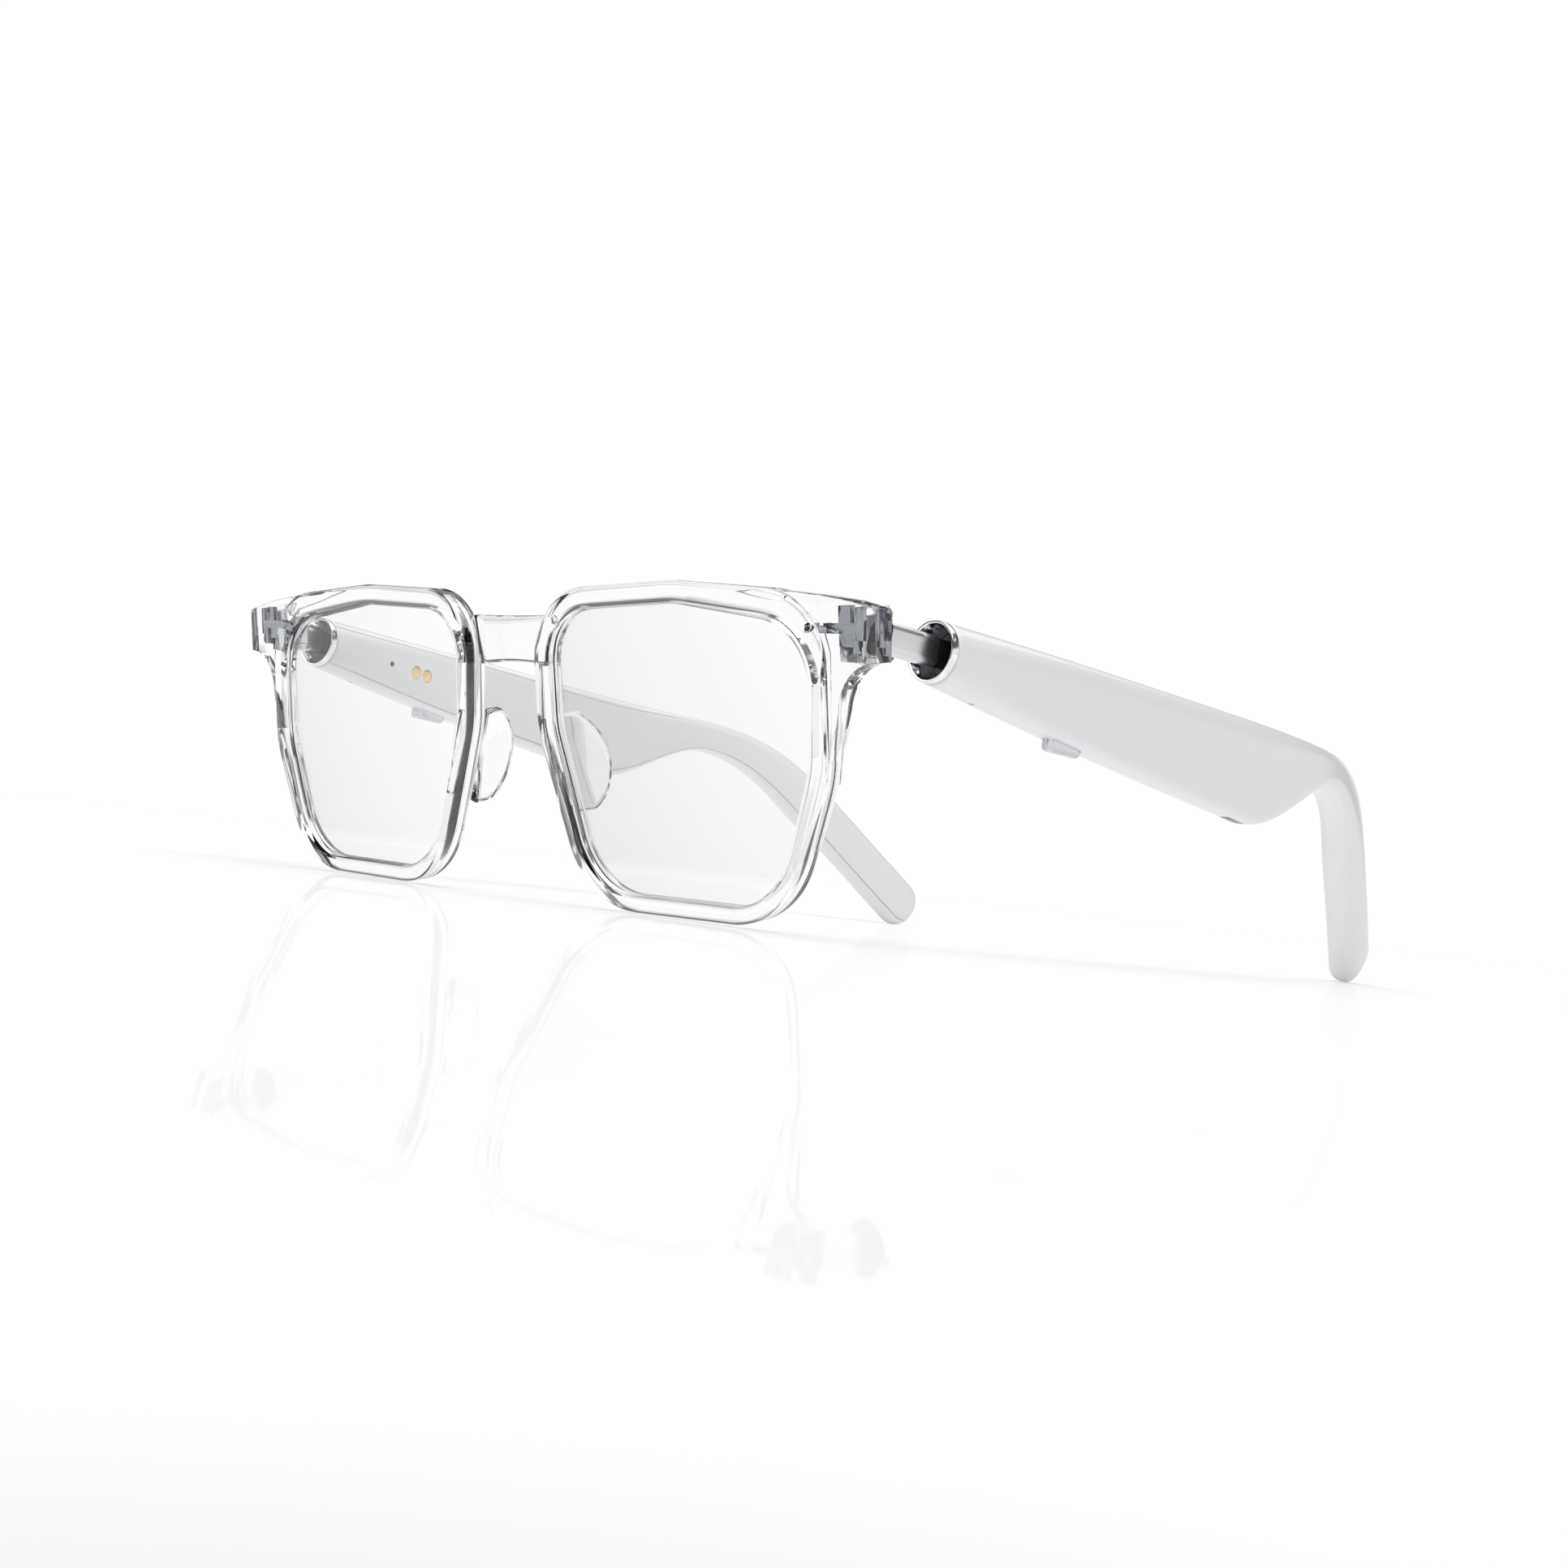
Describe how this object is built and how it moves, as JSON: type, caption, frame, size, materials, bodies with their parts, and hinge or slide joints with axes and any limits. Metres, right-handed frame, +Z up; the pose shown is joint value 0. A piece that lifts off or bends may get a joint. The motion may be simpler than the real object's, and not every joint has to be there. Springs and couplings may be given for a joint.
{
  "type": "smart glasses",
  "caption": "Clear-framed glasses with flat lenses and folding white sound temples that plug onto metal hinge arms through round chrome sockets.",
  "frame": {"origin": "centre of the bounding box on the surface the glasses stand on", "axes": "+X is the wearer's left, +Y runs from the lenses to the ear tips, +Z is up; the glasses stand open on both rims and both ear tips"},
  "size_m": [0.1526, 0.1654, 0.0462],
  "materials": {
    "frame_clear": "clear polished",
    "lens_glass": "clear, faint grey tint",
    "pad_clear": "clear soft polish",
    "hinge_steel": "fine brushed",
    "satin_steel": "satin",
    "black_rubber": "matt",
    "black_plastic": "fine matt",
    "ring_chrome": "polished",
    "white_gloss": "polished white",
    "cell_can": "plain can",
    "board_green": "solder mask",
    "grille_mesh": "fine dark mesh",
    "board_gold": "gold plated",
    "sensor_window": "dark gloss",
    "button_metal": "polished",
    "cable_film": "amber film"
  },
  "bodies": {
    "front": {"front_frame": "frame_clear", "lens_left": "lens_glass", "lens_right": "lens_glass", "nose_pad_left": "pad_clear", "nose_pad_right": "pad_clear", "hinge_anchor_left": "hinge_steel", "hinge_anchor_right": "hinge_steel", "hinge_fork_left": "hinge_steel", "hinge_fork_right": "hinge_steel", "hinge_pin_left": "hinge_steel", "hinge_pin_right": "hinge_steel"},
    "left_temple": {"hinge_arm_left": "satin_steel", "arm_buffer_left": "black_rubber", "plug_left": "black_plastic", "ring_collar_left": "ring_chrome", "socket_liner_left": "black_plastic", "temple_shell_left": "white_gloss", "inner_cover_left": "white_gloss", "tip_core_left": "hinge_steel", "battery_left": "cell_can", "circuit_board_left": "board_green", "speaker_left": "black_plastic", "speaker_grille_left": "grille_mesh", "microphone_left": "board_gold", "wear_sensor_left": "sensor_window", "charging_contacts_left": "board_gold", "button_switch_left": "black_plastic", "flex_cable_left": "cable_film"},
    "left_button": {"button_left": "button_metal"},
    "right_temple": {"hinge_arm_right": "satin_steel", "arm_buffer_right": "black_rubber", "plug_right": "black_plastic", "ring_collar_right": "ring_chrome", "socket_liner_right": "black_plastic", "temple_shell_right": "white_gloss", "inner_cover_right": "white_gloss", "tip_core_right": "hinge_steel", "battery_right": "cell_can", "circuit_board_right": "board_green", "speaker_right": "black_plastic", "speaker_grille_right": "grille_mesh", "microphone_right": "board_gold", "wear_sensor_right": "sensor_window", "charging_contacts_right": "board_gold", "button_switch_right": "black_plastic", "flex_cable_right": "cable_film"},
    "right_button": {"button_right": "button_metal"}
  },
  "joints": [
    {"name": "left_fold", "type": "hinge", "parent": "front", "child": "left_temple", "pos_m": [0.0646, -0.07154, 0.03972], "axis": [0, -0.1875, 0.9823], "range_deg": [0, 90]},
    {"name": "right_fold", "type": "hinge", "parent": "front", "child": "right_temple", "pos_m": [-0.0646, -0.07154, 0.03972], "axis": [0, 0.1875, -0.9823], "range_deg": [0, 75]},
    {"name": "left_press", "type": "slide", "parent": "left_temple", "child": "left_button", "axis": [0, 0.0574, 0.9984], "range_m": [0, 0.0004], "stiffness_N_per_m": 2500},
    {"name": "right_press", "type": "slide", "parent": "right_temple", "child": "right_button", "axis": [0, 0.0574, 0.9984], "range_m": [0, 0.0004], "stiffness_N_per_m": 2500}
  ]
}
